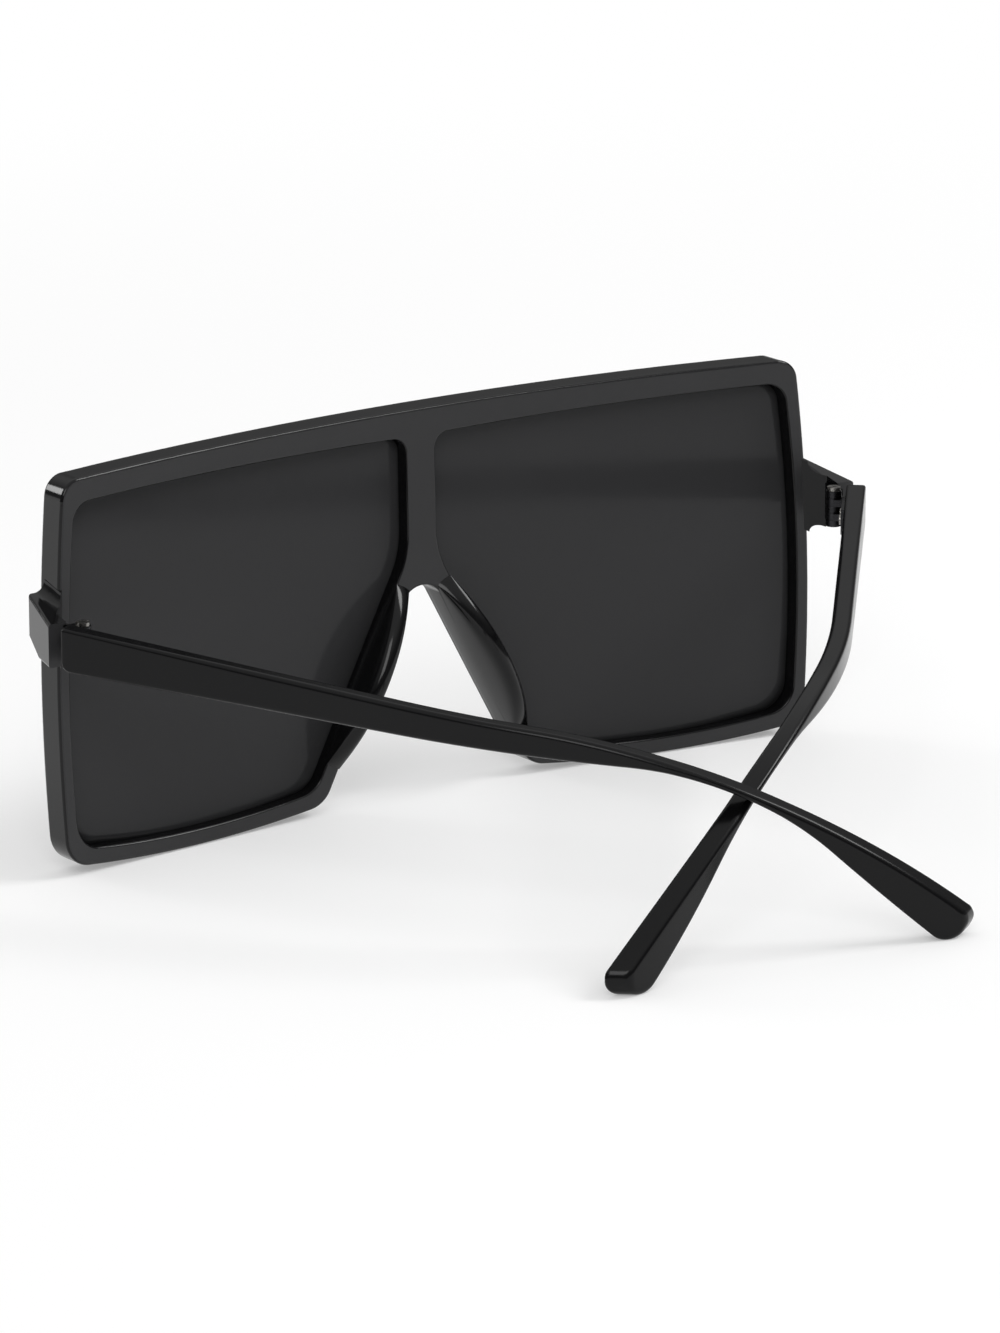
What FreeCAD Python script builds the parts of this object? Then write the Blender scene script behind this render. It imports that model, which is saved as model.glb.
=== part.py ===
"""Oversized square sunglasses: a wrapped front, two snap-in lenses and two folding temples on barrel hinges.

Millimetres. +X is the wearer's left, the lenses face -Y, the temples run back towards +Y and the lower
rims stand on the plane z = 0. The origin lies below the middle of the front's rear face.
"""
import FreeCAD
import Part
import Sketcher
import os
from math import sqrt

from FreeCAD import Placement, Rotation, Vector

# Driving sizes, one cell each, in millimetres and degrees
SIZES = {
    # front, outline seen from behind
    "corner_span": 140.0,
    "bottom_span": 142.2,
    "side_bulge": 1.5,
    "front_height": 64.2,
    "top_crown": 0.7,
    "bottom_lift": 1.75,
    "top_corner_round": 3.6,
    "bottom_corner_round": 5.0,
    "nose_corner_round": 5.0,
    "arch_top": 34.9,
    "arch_radius": 4.2,
    "nose_angle": 27.6,
    # front, section
    "wrap_radius": 412.0,
    "front_thickness": 5.7,
    "front_edge_round": 0.7,
    "rear_edge_round": 0.5,
    "front_lean_angle": 1.6,
    # rims round the lens openings
    "rim_top": 3.9,
    "rim_side": 2.2,
    "rim_bottom": 2.6,
    "rim_nose": 2.75,
    "bridge_width": 5.6,
    "opening_top_round": 3.5,
    "opening_bridge_round": 2.5,
    "opening_bottom_round": 5.0,
    "opening_nose_round": 15.0,
    "opening_edge_round": 0.35,
    # lenses and their grooves
    "lens_thickness": 1.8,
    "lens_setback": 2.6,
    "groove_depth": 0.8,
    "lens_clearance": 0.05,
    # nose pads, moulded in one with the front
    "pad_thickness": 2.2,
    "pad_depth": 5.4,
    "pad_high": 35.0,
    "pad_low": 8.0,
    "pad_flare_angle": 8.0,
    "pad_root": 0.6,
    "pad_edge_round": 0.7,
    # end pieces
    "lug_ahead": 4.6,
    "lug_step": 0.7,
    "lug_web": 4.6,
    "lug_top_angle": 11.7,
    "lug_sweep_angle": 25.0,
    "lug_sweep_start": 7.0,
    "lug_flare": 1.9,
    # hinges
    "hinge_behind": 7.35,
    "hinge_level": 40.05,
    "hinge_height": 6.0,
    "hinge_inset": 2.0,
    "butt_ahead": 1.6,
    "butt_gap": 0.1,
    "barrel_radius": 1.3,
    "barrel_gap": 0.06,
    "barrel_relief": 0.3,
    "leaf_thickness": 1.0,
    "leaf_let_in": 0.5,
    "leaf_lap": 0.3,
    "leaf_fit": 0.03,
    "front_leaf_length": 4.4,
    "temple_leaf_length": 9.0,
    "temple_leaf_height": 4.2,
    "screw_radius": 0.6,
    "screw_clearance": 0.03,
    "screw_head_radius": 1.1,
    "screw_head_height": 0.6,
    "screw_slot": 0.3,
    "rivet_radius": 0.45,
    "rivet_head_radius": 0.8,
    "rivet_head_height": 0.3,
    "rivet_depth": 1.3,
    "rivet_clearance": 0.02,
    "rivet_spread": 1.6,
    "rivet_pitch": 4.2,
    # temples, straight back from the hinge when open
    "temple_thickness": 3.2,
    "butt_height": 7.0,
    "top_drop_angle": 6.82,
    "low_drop_angle": 4.69,
    "top_bend_start": 74.35,
    "low_bend_start": 88.7,
    "low_bend_radius": 44.2,
    "tip_angle": 47.2,
    "tip_lean_angle": 28.0,
    "tip_width": 5.6,
    "tip_round": 2.4,
    "butt_round": 1.6,
    "bow_start": 53.4,
    "bow_radius": 128.2,
    "temple_edge_round": 0.5,
    # temples at rest, half folded
    "fold_angle_left": 35.8,
    "fold_angle_right": 38.8,
}
BARRELS = 5
CUT_ROOM = 5.0
TINY = 1e-4
GLANCING = 0.2
SIDES = {"left": 1, "right": -1}
UPRIGHT = Rotation(Vector(1, 0, 0), 90)
SIDEWAYS = Rotation(Vector(1, 1, 1), 120)

doc = FreeCAD.newDocument("sunglasses")
sheet = doc.addObject("Spreadsheet::Sheet", "dims")
for row, (alias, size) in enumerate(SIZES.items(), start=1):
    sheet.set(f"A{row}", alias)
    sheet.set(f"B{row}", str(size))
    sheet.setAlias(f"B{row}", alias)
doc.recompute()

# Places worked out from the driving sizes, as expressions
HALF_TOP = "dims.corner_span / 2"
HALF_BOTTOM = "dims.bottom_span / 2"
TOP_CORNER = "(dims.front_height - dims.top_crown)"
NOSE_TAN = "tan(dims.nose_angle * 1deg)"
NOSE_COS = "cos(dims.nose_angle * 1deg)"
ARCH_X = f"dims.arch_radius * {NOSE_COS}"
ARCH_Z = "(dims.arch_top - dims.arch_radius + dims.arch_radius * sin(dims.nose_angle * 1deg))"
HALF_WIDEST = "(max(dims.corner_span; dims.bottom_span) / 2 + dims.side_bulge)"
BUTT_TOP = "(dims.hinge_level + dims.butt_height / 2)"
BUTT_LOW = "(dims.hinge_level - dims.butt_height / 2)"
TEMPLE_OUT = "(dims.hinge_inset + dims.temple_thickness)"
LEAF_IN = "(dims.hinge_inset + dims.leaf_let_in - dims.leaf_thickness)"
LEAF_OUT = "(dims.hinge_inset + dims.leaf_let_in)"
PLATE_START = "(dims.barrel_radius + dims.barrel_relief)"
HINGE_LOW = "(dims.hinge_level - dims.hinge_height / 2)"
HINGE_TOP = "(dims.hinge_level + dims.hinge_height / 2)"
BARREL_PITCH = f"(dims.hinge_height / {BARRELS})"


def rim_side(z):
    """How far out the rim's bulging side lies at height z."""
    rise = f"({TOP_CORNER} - dims.bottom_lift)"
    share = f"(({z} - dims.bottom_lift) / {rise})"
    slant = f"({HALF_TOP} - {HALF_BOTTOM}) * {share}"
    return f"({HALF_BOTTOM} + {slant} + 4 * dims.side_bulge * {share} * (1 - {share}))"


# The front leans forwards about the hinges' level, and its lower front edge stays on the floor
LEAN = "(dims.front_lean_angle * 1deg)"
LOW_MIDDLE = f"(({HALF_BOTTOM} + {ARCH_X} + {ARCH_Z} * {NOSE_TAN}) / 2)"
LOW_AHEAD = f"(sqrt((dims.wrap_radius + dims.front_thickness)^2 - {LOW_MIDDLE}^2) - dims.wrap_radius)"
LEAN_LIFT = f"(({LOW_AHEAD} - dims.front_edge_round) * sin{LEAN} + dims.front_edge_round * (1 - cos{LEAN}))"

# The hinges stand straight behind the rim's sides, where the end pieces leave them
HINGE_X = rim_side("dims.hinge_level")
SIDE_BACK = f"(dims.wrap_radius - sqrt(dims.wrap_radius^2 - {HINGE_X}^2))"
HINGE_Y = f"({SIDE_BACK} + dims.hinge_behind)"
BUTT_START = "(dims.butt_gap / 2 - dims.butt_ahead)"
LUG_ROOT = f"({HINGE_X} - dims.rim_side / 2)"
LUG_FRONT = f"({SIDE_BACK} - dims.lug_ahead)"
LUG_BACK = f"({HINGE_Y} - dims.butt_ahead - dims.butt_gap / 2)"


def value(expression):
    """The present value of an expression over the sheet."""
    result = sheet.evalExpression(str(expression))
    return float(getattr(result, "Value", result))


def nose_x(z):
    """Half width of the nose opening at height z, along its straight wall."""
    return f"({ARCH_X} + ({ARCH_Z} - ({z})) * {NOSE_TAN})"


def arc_through(half_chord, rise):
    """Radius of the arc that rises so far over half its chord."""
    return f"((({half_chord})^2 + ({rise})^2) / (2 * ({rise})))"


def draw_loop(sketch, corners):
    """Adds a closed loop. Each corner is (x, y) or (x, y, "out" or "in", radius of the arc to the next)."""
    points = [Vector(value(corner[0]), value(corner[1]), 0) for corner in corners]
    following = points[1:] + points[:1]
    area = sum(a.x * b.y - b.x * a.y for a, b in zip(points, following))
    turning = 1 if area > 0 else -1
    edges = []
    for corner, start, end in zip(corners, points, following):
        if len(corner) == 2:
            index = sketch.addGeometry(Part.LineSegment(start, end))
            edges.append((index, 1, 2))
            continue
        radius = value(corner[3])
        chord = end - start
        rise = radius - sqrt(radius**2 - chord.Length**2 / 4)
        outward = Vector(chord.y, -chord.x, 0).normalize() * turning
        bulge = rise if corner[2] == "out" else -rise
        middle = (start + end) / 2 + outward * bulge
        anticlockwise = (middle - start).cross(end - middle).z > 0
        first, last = (start, end) if anticlockwise else (end, start)
        index = sketch.addGeometry(Part.Arc(first, middle, last))
        edges.append((index, 1, 2) if anticlockwise else (index, 2, 1))
        held = sketch.addConstraint(Sketcher.Constraint("Radius", index, radius))
        sketch.setExpression(f"Constraints[{held}]", corner[3])
    for (index, _, last), (after, first, _) in zip(edges, edges[1:] + edges[:1]):
        sketch.addConstraint(Sketcher.Constraint("Coincident", index, last, after, first))
    for (index, first, _), corner, point in zip(edges, corners, points):
        across = sketch.addConstraint(Sketcher.Constraint("DistanceX", -1, 1, index, first, point.x))
        sketch.setExpression(f"Constraints[{across}]", corner[0])
        up = sketch.addConstraint(Sketcher.Constraint("DistanceY", -1, 1, index, first, point.y))
        sketch.setExpression(f"Constraints[{up}]", corner[1])


def add_sketch(body, name, plane, loops, level=None):
    """A sketch of closed loops on one of the body's origin planes, lifted to a level along its normal."""
    sketch = body.newObject("Sketcher::SketchObject", name)
    support = next(feature for feature in body.Origin.OriginFeatures if feature.Role == plane)
    sketch.AttachmentSupport = (support, [""])
    sketch.MapMode = "FlatFace"
    if level is not None:
        sketch.setExpression("AttachmentOffset.Base.z", level)
    for corners in loops:
        draw_loop(sketch, corners)
    return sketch


def add_pad(body, name, sketch, length, symmetric=False):
    pad = body.newObject("PartDesign::Pad", name)
    pad.Profile = sketch
    pad.SideType = "Symmetric" if symmetric else "One side"
    pad.setExpression("Length", length)
    doc.recompute()
    return pad


def add_cut_through(body, name, sketch):
    """A pocket through everything on both sides of its sketch."""
    before = body.Shape.Volume
    pocket = body.newObject("PartDesign::Pocket", name)
    pocket.Profile = sketch
    pocket.Type = "ThroughAll"
    pocket.SideType = "Symmetric"
    doc.recompute()
    if body.Shape.Volume >= before:
        raise RuntimeError(f"{name} cuts nothing")
    return pocket


def edges_at(shape, direction, places):
    """Names of the straight edges along a direction through any of the places."""
    names = []
    for number, edge in enumerate(shape.Edges, start=1):
        if edge.Curve.TypeId != "Part::GeomLine":
            continue
        if edge.Curve.Direction.cross(direction).Length > TINY:
            continue
        middle = edge.CenterOfMass
        if any((middle - place).cross(direction).Length < TINY for place in places):
            names.append(f"Edge{number}")
    if len(names) != len(places):
        raise RuntimeError(f"{len(names)} edges found for {len(places)} corners")
    return names


def add_fillet(body, name, edges, radius):
    base = body.Tip
    fillet = body.newObject("PartDesign::Fillet", name)
    fillet.Base = (base, edges)
    fillet.setExpression("Radius", radius)
    doc.recompute()
    return fillet


def round_corners(body, name, corners, radius):
    """Rounds the corners of an outline in the XZ plane."""
    places = [Vector(value(x), 0, value(z)) for x, z in corners]
    return add_fillet(body, name, edges_at(body.Shape, Vector(0, 1, 0), places), radius)


def primitive(kind, name, sizes, base):
    """A Part primitive whose sizes and place are expressions."""
    solid = doc.addObject(f"Part::{kind}", name)
    for key, size in sizes.items():
        solid.setExpression(key, str(size))
    for axis, place in zip("xyz", base):
        solid.setExpression(f"Placement.Base.{axis}", str(place))
    return solid


def fuse(name, solids):
    joined = doc.addObject("Part::MultiFuse", name)
    joined.Shapes = solids
    return joined


def cut(name, base, tools):
    """Takes the tools out of the base, one after the other."""
    for number, tool in enumerate(tools, start=1):
        result = doc.addObject("Part::Cut", name if number == len(tools) else f"{name}_cut_{number}")
        result.Base = base
        result.Tool = tool
        base = result
    return base


def curved_plate(name, inner, outer, loop):
    """A body bent round the wrap axis between two radii and trimmed to a loop in the XZ plane."""
    body = doc.addObject("PartDesign::Body", name)
    half = f"({HALF_WIDEST} + {CUT_ROOM})"
    inner_end = f"dims.wrap_radius - sqrt(({inner})^2 - {half}^2)"
    outer_end = f"dims.wrap_radius - sqrt(({outer})^2 - {half}^2)"
    section = [
        (f"-{half}", outer_end, "out", outer),
        (half, outer_end),
        (half, inner_end, "in", inner),
        (f"-{half}", inner_end),
    ]
    plan = add_sketch(body, f"{name}_plan", "XY_Plane", [section], f"-{CUT_ROOM}")
    add_pad(body, f"{name}_wrap", plan, f"dims.front_height + 2 * {CUT_ROOM}")
    waste = [
        (f"-{half} - {CUT_ROOM}", f"-2 * {CUT_ROOM}"),
        (f"{half} + {CUT_ROOM}", f"-2 * {CUT_ROOM}"),
        (f"{half} + {CUT_ROOM}", f"dims.front_height + 2 * {CUT_ROOM}"),
        (f"-{half} - {CUT_ROOM}", f"dims.front_height + 2 * {CUT_ROOM}"),
    ]
    trim = add_sketch(body, f"{name}_outline", "XZ_Plane", [waste, loop])
    add_cut_through(body, f"{name}_trim", trim)
    return body


# Lens openings, with room to grow for the groove and the lens
def opening_corners(side, grow):
    """Corners of one lens opening, grown outwards by an amount."""
    low = f"(dims.bottom_lift + dims.rim_bottom - ({grow}))"
    shift = f"(dims.rim_nose - ({grow})) / {NOSE_COS}"
    bridge = f"(dims.bridge_width / 2 - ({grow}))"
    bend = f"({ARCH_Z} + ({ARCH_X} + {shift} - {bridge}) / {NOSE_TAN})"
    corners = {
        "nose": (f"({nose_x(low)} + {shift})", low),
        "outer_low": (f"({HALF_BOTTOM} - dims.rim_side + ({grow}))", low),
        "outer_top": (f"({HALF_TOP} - dims.rim_side + ({grow}))", f"({TOP_CORNER} - dims.rim_top + ({grow}))"),
        "bridge_top": (bridge, f"({TOP_CORNER} - dims.rim_top + ({grow}))"),
        "bend": (bridge, bend),
    }
    return {name: (f"{side} * {x}", z) for name, (x, z) in corners.items()}


def opening_loop(corners):
    """The opening's outline: its lower, outer and upper edges are arcs, the other two straight."""
    low_chord = f"(abs({corners['outer_low'][0]} - {corners['nose'][0]}) / 2)"
    side_chord = f"(({corners['outer_top'][1]} - {corners['outer_low'][1]}) / 2)"
    top_chord = f"(abs({corners['outer_top'][0]} - {corners['bridge_top'][0]}) / 2)"
    return [
        (*corners["nose"], "out", arc_through(low_chord, "dims.bottom_lift")),
        (*corners["outer_low"], "out", arc_through(side_chord, "dims.side_bulge")),
        (*corners["outer_top"], "out", arc_through(top_chord, "dims.top_crown / 2")),
        corners["bridge_top"],
        corners["bend"],
    ]


def round_opening(body, name, side_corners, grow):
    """Rounds the corners of openings or lenses that were drawn sharp."""
    rounds = {
        "bottom": (("nose", "outer_low"), "dims.opening_bottom_round"),
        "top": (("outer_top",), "dims.opening_top_round"),
        "bridge": (("bridge_top",), "dims.opening_bridge_round"),
        "bend": (("bend",), "dims.opening_nose_round"),
    }
    for key, (names, radius) in rounds.items():
        places = [corners[corner] for corners in side_corners for corner in names]
        round_corners(body, f"{name}_{key}_round", places, f"{radius} + {grow}")


# Front
def front_loop():
    """Outline of the front: crown, bulging sides, sagging lower rims and the nose arch."""
    low = "dims.bottom_lift"
    nose = nose_x(low)
    low_arc = arc_through(f"(({HALF_BOTTOM} - {nose}) / 2)", low)
    side_arc = arc_through(f"(({TOP_CORNER} - {low}) / 2)", "dims.side_bulge")
    return [
        (nose, low, "out", low_arc),
        (HALF_BOTTOM, low, "out", side_arc),
        (HALF_TOP, TOP_CORNER, "out", arc_through(HALF_TOP, "dims.top_crown")),
        (f"-{HALF_TOP}", TOP_CORNER, "out", side_arc),
        (f"-{HALF_BOTTOM}", low, "out", low_arc),
        (f"-{nose}", low),
        (f"-{ARCH_X}", ARCH_Z, "in", "dims.arch_radius"),
        (ARCH_X, ARCH_Z),
    ]


def is_sharp(shape, edge):
    """Whether the two faces beside an edge meet there at more than a glancing angle."""
    middle = edge.valueAt((edge.FirstParameter + edge.LastParameter) / 2)
    normals = []
    for face in shape.ancestorsOfType(edge, Part.Face):
        normals.append(face.normalAt(*face.Surface.parameter(middle)))
    return len(normals) == 2 and normals[0].cross(normals[1]).Length > GLANCING


def sharp_edges_of_radius(shape, radius):
    """Names of the unrounded edges of the faces that lie on one wrap radius."""
    names = []
    for number, edge in enumerate(shape.Edges, start=1):
        surfaces = [face.Surface for face in shape.ancestorsOfType(edge, Part.Face)]
        on_radius = any(
            surface.TypeId == "Part::GeomCylinder" and abs(surface.Radius - value(radius)) < TINY
            for surface in surfaces
        )
        if on_radius and is_sharp(shape, edge):
            names.append(f"Edge{number}")
    return names


def loose_sketch(name, loop, turn):
    """A sketch of one loop outside any body."""
    sketch = doc.addObject("Sketcher::SketchObject", name)
    sketch.Placement = Placement(Vector(), turn)
    draw_loop(sketch, loop)
    return sketch


def extrude(name, sketch, direction, length, symmetric=False):
    solid = doc.addObject("Part::Extrusion", name)
    solid.Base = sketch
    solid.DirMode = "Custom"
    for axis, part in zip("xyz", direction):
        solid.setExpression(f"Dir.{axis}", part)
    solid.setExpression("LengthFwd", length)
    solid.Symmetric = symmetric
    solid.Solid = True
    return solid


def round_edges(name, base, numbers, radius):
    """Rounds numbered edges of a solid to a radius from the sheet."""
    rounded = doc.addObject("Part::Fillet", name)
    rounded.Base = base
    rounded.Edges = [(number, value(radius), value(radius)) for number in numbers]
    doc.recompute()
    return rounded


def make_nose_pad(name, side):
    """A pad behind the nose side of a rim: a slab along the nose wall, flared, with a bowed rear edge."""
    width = f"(dims.pad_thickness / {NOSE_COS})"
    root = "dims.pad_root"
    strip = [
        (f"{side} * {nose_x('dims.pad_low')}", "dims.pad_low"),
        (f"{side} * ({nose_x('dims.pad_low')} + {width})", "dims.pad_low"),
        (f"{side} * ({nose_x('dims.pad_high')} + {width})", "dims.pad_high"),
        (f"{side} * {nose_x('dims.pad_high')}", "dims.pad_high"),
    ]
    bow = arc_through("((dims.pad_high - dims.pad_low) / 2)", "dims.pad_depth")
    profile = [
        (f"-{root}", "dims.pad_low"),
        ("0", "dims.pad_low", "out", bow),
        ("0", "dims.pad_high"),
        (f"-{root}", "dims.pad_high"),
    ]
    flare = "dims.pad_flare_angle * 1deg"
    direction = (
        f"{side} * sin({flare}) * {NOSE_COS}",
        f"cos({flare})",
        f"sin({flare}) * sin(dims.nose_angle * 1deg)",
    )
    slab = extrude(f"{name}_slab", loose_sketch(f"{name}_strip", strip, UPRIGHT), direction,
                   f"2 * (dims.pad_depth + {root})", symmetric=True)
    outline = loose_sketch(f"{name}_profile", profile, SIDEWAYS)
    side_view = extrude(f"{name}_side_view", outline, ("1", "0", "0"), "2 * dims.front_height", symmetric=True)
    pad = doc.addObject("Part::Common", name)
    pad.Base = slab
    pad.Tool = side_view
    doc.recompute()
    bowed = [n for n, edge in enumerate(pad.Shape.Edges, start=1) if edge.Curve.TypeId != "Part::GeomLine"]
    return round_edges(f"{name}_rounded", pad, bowed, "dims.pad_edge_round")


def lug_wall(level, slope):
    """Where the rim's side meets a lug's sloping face at the lug's front."""
    return rim_side(f"({level} - {LUG_FRONT} * tan({slope}))")


def lug_gusset(name, side, sign, level, slope):
    """The hollow fillet between the rim's side and a lug's sloping top (sign 1) or underside (sign -1)."""
    crest = f"({level} + {sign} * dims.lug_flare)"
    wall = lug_wall(level, slope)
    loop = [
        (f"{side} * {LUG_ROOT}", f"{level} - {sign} * dims.lug_flare"),
        (f"{side} * ({wall} + dims.lug_flare)", f"{level} - {sign} * dims.lug_flare"),
        (f"{side} * ({wall} + dims.lug_flare)", level, "in", "dims.lug_flare"),
        (f"{side} * {wall}", crest),
        (f"{side} * {LUG_ROOT}", crest),
    ]
    direction = ("0", f"cos({slope})", f"-sin({slope})")
    return extrude(name, loose_sketch(f"{name}_section", loop, UPRIGHT), direction, HINGE_Y)


def make_lug(name, side):
    """An end piece: it flares out of the rim's side and slants outwards and back to the hinge."""
    top_slope = "(dims.lug_top_angle * 1deg)"
    sweep = "(dims.lug_sweep_angle * 1deg)"
    top = f"({BUTT_TOP} + {LUG_BACK} * tan{top_slope})"
    sweep_back = f"({HINGE_Y} - dims.lug_sweep_start)"
    low = f"({BUTT_LOW} + {sweep_back} * tan{sweep})"
    widest = f"max({lug_wall(top, top_slope)}; {lug_wall(low, sweep)})"
    step = f"({widest} + dims.lug_flare + dims.lug_step)"
    out = f"({HINGE_X} + {TEMPLE_OUT})"
    inside = f"({HINGE_X} + dims.hinge_inset)"
    plan = [
        (f"{side} * {LUG_ROOT}", LUG_FRONT),
        (f"{side} * {step}", LUG_FRONT),
        (f"{side} * {out}", LUG_BACK),
        (f"{side} * {inside}", LUG_BACK),
        (f"{side} * {inside}", f"{HINGE_Y} - dims.lug_web"),
        (f"{side} * {LUG_ROOT}", f"{SIDE_BACK} - dims.rear_edge_round"),
    ]
    side_view = [
        (LUG_BACK, BUTT_LOW),
        (LUG_BACK, BUTT_TOP),
        ("0", top),
        ("0", low),
        (sweep_back, BUTT_LOW),
    ]
    profile = loose_sketch(f"{name}_side_view", side_view, SIDEWAYS)
    arm = extrude(f"{name}_arm", profile, ("1", "0", "0"), f"2 * ({out} + {CUT_ROOM})", symmetric=True)
    gussets = [
        lug_gusset(f"{name}_top_flare", side, 1, top, top_slope),
        lug_gusset(f"{name}_low_flare", side, -1, low, sweep),
    ]
    ground = loose_sketch(f"{name}_plan", plan, Rotation())
    prism = extrude(f"{name}_prism", ground, ("0", "0", "1"), "dims.front_height")
    lug = doc.addObject("Part::Common", name)
    lug.Base = fuse(f"{name}_bulk", [arm] + gussets)
    lug.Tool = prism
    doc.recompute()
    back = value(LUG_BACK)
    slant = (value(out) - value(step)) / (back - value(LUG_FRONT))
    rounded = [
        number for number, edge in enumerate(lug.Shape.Edges, start=1)
        if all(abs(side * point.X - value(out) + (back - point.Y) * slant) < TINY for point in edge.Vertexes)
        and not all(abs(point.Y - back) < TINY for point in edge.Vertexes)
    ]
    return round_edges(f"{name}_rounded", lug, rounded, "dims.temple_edge_round")


def make_front_body():
    body = curved_plate("front", "dims.wrap_radius", "dims.wrap_radius + dims.front_thickness", front_loop())
    low = "dims.bottom_lift"
    both = tuple(SIDES.values())
    round_corners(body, "top_corners", [(f"{s} * {HALF_TOP}", TOP_CORNER) for s in both], "dims.top_corner_round")
    round_corners(body, "low_corners", [(f"{s} * {HALF_BOTTOM}", low) for s in both], "dims.bottom_corner_round")
    round_corners(body, "nose_corners", [(f"{s} * {nose_x(low)}", low) for s in both], "dims.nose_corner_round")
    rear = "dims.wrap_radius"
    face = "dims.wrap_radius + dims.front_thickness"
    add_fillet(body, "front_edges", sharp_edges_of_radius(body.Shape, face), "dims.front_edge_round")
    add_fillet(body, "rear_edges", sharp_edges_of_radius(body.Shape, rear), "dims.rear_edge_round")
    openings = [opening_corners(side, "0") for side in both]
    holes = add_sketch(body, "openings", "XZ_Plane", [opening_loop(corners) for corners in openings])
    add_cut_through(body, "lens_openings", holes)
    round_opening(body, "opening", openings, "0")
    for name, radius in {"rear": rear, "front": face}.items():
        edges = sharp_edges_of_radius(body.Shape, radius)
        add_fillet(body, f"opening_{name}_edges", edges, "dims.opening_edge_round")
    return body


def make_lens(name, side, clearance):
    """A lens, or with a negative clearance the groove that it snaps into."""
    rear = f"(dims.wrap_radius + dims.lens_setback + ({clearance}))"
    face = f"(dims.wrap_radius + dims.lens_setback + dims.lens_thickness - ({clearance}))"
    grow = f"(dims.groove_depth - ({clearance}))"
    corners = opening_corners(side, grow)
    body = curved_plate(name, rear, face, opening_loop(corners))
    round_opening(body, name, [corners], grow)
    return body


# Hinges, drawn round their own axis with the temple open
def block(name, side, x, y, z):
    """A box between two places along each axis, on the wearer's left or mirrored to the right."""
    start = x[0] if side > 0 else f"-({x[1]})"
    sizes = {"Length": f"{x[1]} - ({x[0]})", "Width": f"{y[1]} - ({y[0]})", "Height": f"{z[1]} - ({z[0]})"}
    return primitive("Box", name, sizes, (start, y[0], z[0]))


def upright(name, radius, z):
    """A cylinder on the hinge axis between two heights."""
    return primitive("Cylinder", name, {"Radius": radius, "Height": f"{z[1]} - ({z[0]})"}, ("0", "0", z[0]))


def cross_pin(name, side, radius, x, y, z):
    """A cylinder that runs outwards through a leaf at one place."""
    sizes = {"Radius": radius, "Height": f"{x[1]} - ({x[0]})"}
    pin = primitive("Cylinder", name, sizes, (f"{side} * ({x[0]})", y, z))
    pin.Placement.Rotation = Rotation(Vector(0, 1, 0), 90 * side)
    return pin


def at_hinge(piece, side, fold=None):
    """Moves a piece from the hinge's own frame to its hinge, folded inwards if it turns."""
    piece.Placement.Rotation = Rotation(Vector(0, 0, 1), 0)
    piece.setExpression("Placement.Base.x", f"{side} * {HINGE_X}")
    piece.setExpression("Placement.Base.y", HINGE_Y)
    if fold:
        piece.setExpression("Placement.Rotation.Angle", f"{side} * {fold} * 1deg")
    return piece


def along(direction, near, far):
    """A span along y, behind the axis for the temple and ahead of it for the front."""
    return (near, far) if direction > 0 else (f"-({far})", f"-({near})")


def rivet_places(direction):
    """The two rivets of a leaf as (y, z): in a row on the temple, one over the other on the front."""
    if direction > 0:
        middle = f"({PLATE_START} + dims.temple_leaf_length) / 2"
        return [(f"{middle} {sign} dims.rivet_pitch / 2", "dims.hinge_level") for sign in "-+"]
    middle = f"-({PLATE_START} + dims.front_leaf_length) / 2"
    return [(middle, f"dims.hinge_level {sign} dims.rivet_spread") for sign in "-+"]


def leaf_span(direction, fit):
    """Heights between which a leaf's plate lies: the front's is as high as the barrels, the temple's lower."""
    height = "dims.temple_leaf_height" if direction > 0 else "dims.hinge_height"
    return f"(dims.hinge_level - {height} / 2 - {fit})", f"(dims.hinge_level + {height} / 2 + {fit})"


def make_leaf(name, side, direction, length, barrels):
    """A hinge leaf: a plate with rivet holes and the barrels that it carries on the axis."""
    run = along(direction, PLATE_START, length)
    solids = [block(f"{name}_plate", side, (LEAF_IN, LEAF_OUT), run, leaf_span(direction, "0"))]
    arm_out = f"({LEAF_IN} + dims.leaf_lap)"
    for number in barrels:
        low = f"({HINGE_LOW} + {number} * {BARREL_PITCH} + dims.barrel_gap / 2)"
        high = f"({HINGE_LOW} + {number + 1} * {BARREL_PITCH} - dims.barrel_gap / 2)"
        solids.append(upright(f"{name}_barrel_{number}", "dims.barrel_radius", (low, high)))
        arm = along(direction, "0", f"{PLATE_START} + dims.barrel_relief")
        solids.append(block(f"{name}_arm_{number}", side, ("0", arm_out), arm, (low, high)))
    bore = upright(f"{name}_bore", "dims.screw_radius + dims.screw_clearance", (HINGE_LOW, HINGE_TOP))
    holes = [
        cross_pin(f"{name}_hole_{n}", side, "dims.rivet_radius + dims.rivet_clearance", (LEAF_IN, LEAF_OUT), y, z)
        for n, (y, z) in enumerate(rivet_places(direction))
    ]
    return cut(name, fuse(f"{name}_blank", solids), [bore] + holes)


def make_rivets(name, side, direction):
    """The two rivets of a leaf, each a head on the plate and a shank that ends inside the plastic."""
    solids = []
    for n, (y, z) in enumerate(rivet_places(direction)):
        head = (f"{LEAF_IN} - dims.rivet_head_height", LEAF_IN)
        shank = (LEAF_IN, f"{LEAF_OUT} + dims.rivet_depth")
        solids.append(cross_pin(f"{name}_head_{n}", side, "dims.rivet_head_radius", head, y, z))
        solids.append(cross_pin(f"{name}_shank_{n}", side, "dims.rivet_radius", shank, y, z))
    return fuse(name, solids)


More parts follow.
